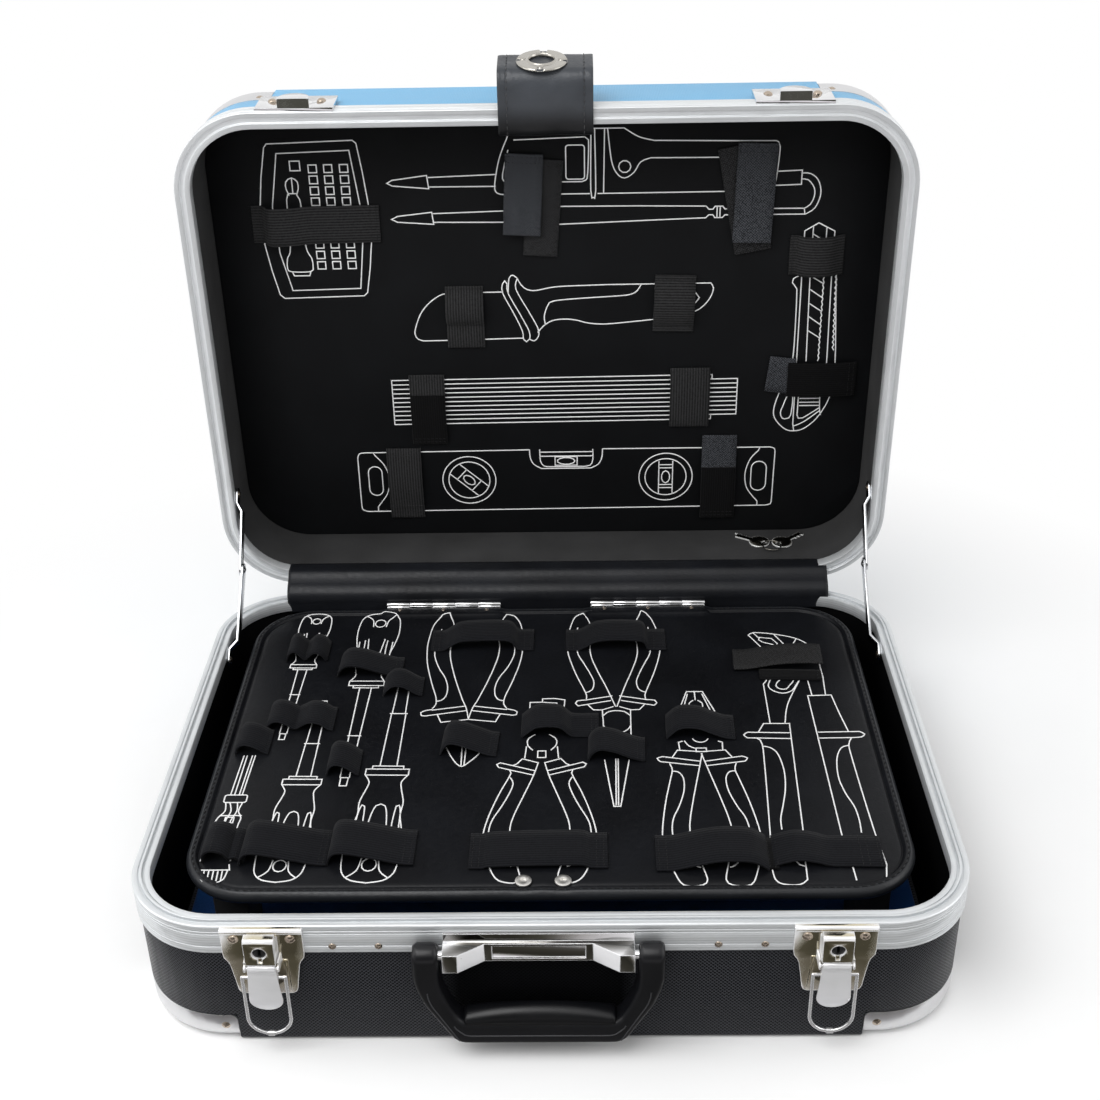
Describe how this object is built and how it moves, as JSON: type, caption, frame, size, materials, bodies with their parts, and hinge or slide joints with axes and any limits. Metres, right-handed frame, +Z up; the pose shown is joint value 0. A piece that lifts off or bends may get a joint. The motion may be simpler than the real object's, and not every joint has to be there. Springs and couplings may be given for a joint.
{
  "type": "hard tool case",
  "caption": "Open hard-shell tool case with aluminium frames, corner guards, draw latches, folding lid stays, hinged tool pallet and a lid panel of elastic straps.",
  "frame": {"origin": "centre of the base's underside", "axes": "+Z up from the underside, -Y towards the latches and handle, +X to the right seen from the front"},
  "size_m": [0.465, 0.4217, 0.4601],
  "materials": {
    "shell_black": "embossed with a fine diamond pattern, satin",
    "shell_blue": "embossed with a fine diamond pattern, satin",
    "frame_aluminium": "satin extrusion with fine grooves",
    "guard_metal": "pressed sheet, satin",
    "rivet_metal": "dull warm plated steel",
    "lining_board": "black lining board",
    "mat_blue": "blue cloth",
    "chrome": "polished chrome plating",
    "pin_steel": "plain steel",
    "hinge_steel": "plated steel",
    "plastic_black": "moulded, satin",
    "soft_grip": "soft moulded, satin",
    "leatherette": "smooth black leatherette",
    "panel_cloth": "smooth black leatherette",
    "elastic": "woven black webbing",
    "snap_metal": "nickel plated",
    "key_metal": "nickel plated",
    "lock_black": "dark lock barrel",
    "stay_steel": "plated steel strip"
  },
  "bodies": {
    "base": {"base_shell": "shell_black", "base_frame": "frame_aluminium", "base_lining": "lining_board", "floor_mat": "mat_blue", "base_corner_guards": "guard_metal", "base_rivets": "rivet_metal", "latch_plate_left": "chrome", "latch_plate_right": "chrome", "handle_bracket": "chrome", "handle_pins": "pin_steel", "base_hinge_leaves": "hinge_steel", "hinge_pins": "pin_steel", "stay_rivets_base": "rivet_metal", "pallet_rests": "plastic_black", "pallet_wall_leaves": "hinge_steel", "pallet_hinge_pins": "pin_steel"},
    "lid": {"lid_shell": "shell_blue", "lid_frame": "frame_aluminium", "lid_lining": "lining_board", "tool_panel": "panel_cloth", "lid_corner_guards": "guard_metal", "lid_rivets": "rivet_metal", "catch_left": "chrome", "catch_right": "chrome", "lid_hinge_leaves": "hinge_steel", "stay_rivets_lid": "rivet_metal", "lid_elastic_loops": "elastic", "lid_hook_straps": "elastic", "lid_strap": "leatherette", "strap_snap": "snap_metal", "keys": "key_metal", "key_wire": "pin_steel", "hinge_cover": "leatherette"},
    "pallet": {"pallet_board": "panel_cloth", "pallet_edging": "leatherette", "pallet_elastic_loops": "elastic", "pallet_hook_strap": "elastic", "pallet_leaves": "hinge_steel", "pallet_rivets": "hinge_steel", "press_studs": "chrome"},
    "handle": {"handle_frame": "plastic_black", "handle_grip": "soft_grip"},
    "lever_left": {"lever_left": "chrome"},
    "lever_right": {"lever_right": "chrome"},
    "bail_left": {"bail_left": "chrome", "bail_clip_left": "chrome"},
    "bail_right": {"bail_right": "chrome", "bail_clip_right": "chrome"},
    "lock_left": {"lock_plug_left": "lock_black"},
    "lock_right": {"lock_plug_right": "lock_black"},
    "stay_upper_left": {"stay_upper_left": "stay_steel"},
    "stay_upper_right": {"stay_upper_right": "stay_steel"},
    "stay_lower_left": {"stay_lower_left": "stay_steel"},
    "stay_lower_right": {"stay_lower_right": "stay_steel"}
  },
  "joints": [
    {"name": "lid_hinge", "type": "hinge", "parent": "base", "child": "lid", "pos_m": [0, 0.175, 0.086], "axis": [-1, 0, 0], "range_deg": [-88.5, 0], "deforming": ["hinge_cover", "lid_strap"]},
    {"name": "pallet_hinge", "type": "hinge", "parent": "base", "child": "pallet", "pos_m": [0, 0.1568, 0.0836], "axis": [-1, 0, 0], "range_deg": [0, 85]},
    {"name": "handle_pivot", "type": "hinge", "parent": "base", "child": "handle", "pos_m": [-0.005, -0.178, 0.073], "axis": [-1, 0, 0], "range_deg": [0, 95]},
    {"name": "lever_left_pivot", "type": "hinge", "parent": "base", "child": "lever_left", "pos_m": [-0.1524, -0.179, 0.0655], "axis": [-1, 0, 0], "range_deg": [0, 110]},
    {"name": "bail_left_pivot", "type": "hinge", "parent": "lever_left", "child": "bail_left", "pos_m": [-0.1524, -0.1775, 0.0574], "axis": [1, 0, 0], "range_deg": [-184.81, 0]},
    {"name": "lock_left_turn", "type": "hinge", "parent": "base", "child": "lock_left", "pos_m": [-0.1524, -0.1805, 0.0768], "axis": [0, -1, 0], "range_deg": [0, 90]},
    {"name": "lever_right_pivot", "type": "hinge", "parent": "base", "child": "lever_right", "pos_m": [0.1524, -0.179, 0.0655], "axis": [-1, 0, 0], "range_deg": [0, 110]},
    {"name": "bail_right_pivot", "type": "hinge", "parent": "lever_right", "child": "bail_right", "pos_m": [0.1524, -0.1775, 0.0574], "axis": [1, 0, 0], "range_deg": [-184.81, 0]},
    {"name": "lock_right_turn", "type": "hinge", "parent": "base", "child": "lock_right", "pos_m": [0.1524, -0.1805, 0.0768], "axis": [0, -1, 0], "range_deg": [0, 90]},
    {"name": "stay_lower_left_pivot", "type": "hinge", "parent": "base", "child": "stay_lower_left", "pos_m": [-0.2217, 0.101, 0.075], "axis": [-1, 0, 0], "range_deg": [-98.1, 0]},
    {"name": "stay_upper_left_pivot", "type": "hinge", "parent": "lid", "child": "stay_upper_left", "pos_m": [-0.2217, 0.18508, 0.15929], "axis": [1, 0, 0], "range_deg": [-162.8, 0]},
    {"name": "stay_lower_right_pivot", "type": "hinge", "parent": "base", "child": "stay_lower_right", "pos_m": [0.2217, 0.101, 0.075], "axis": [-1, 0, 0], "range_deg": [-98.1, 0]},
    {"name": "stay_upper_right_pivot", "type": "hinge", "parent": "lid", "child": "stay_upper_right", "pos_m": [0.2217, 0.18508, 0.15929], "axis": [1, 0, 0], "range_deg": [-162.8, 0]}
  ],
  "couplings": [
    {"joint": "stay_lower_left_pivot", "follows": "lid_hinge", "ratio": 1.1084},
    {"joint": "stay_upper_left_pivot", "follows": "lid_hinge", "ratio": 1.839},
    {"joint": "stay_lower_right_pivot", "follows": "lid_hinge", "ratio": 1.1084},
    {"joint": "stay_upper_right_pivot", "follows": "lid_hinge", "ratio": 1.839}
  ]
}
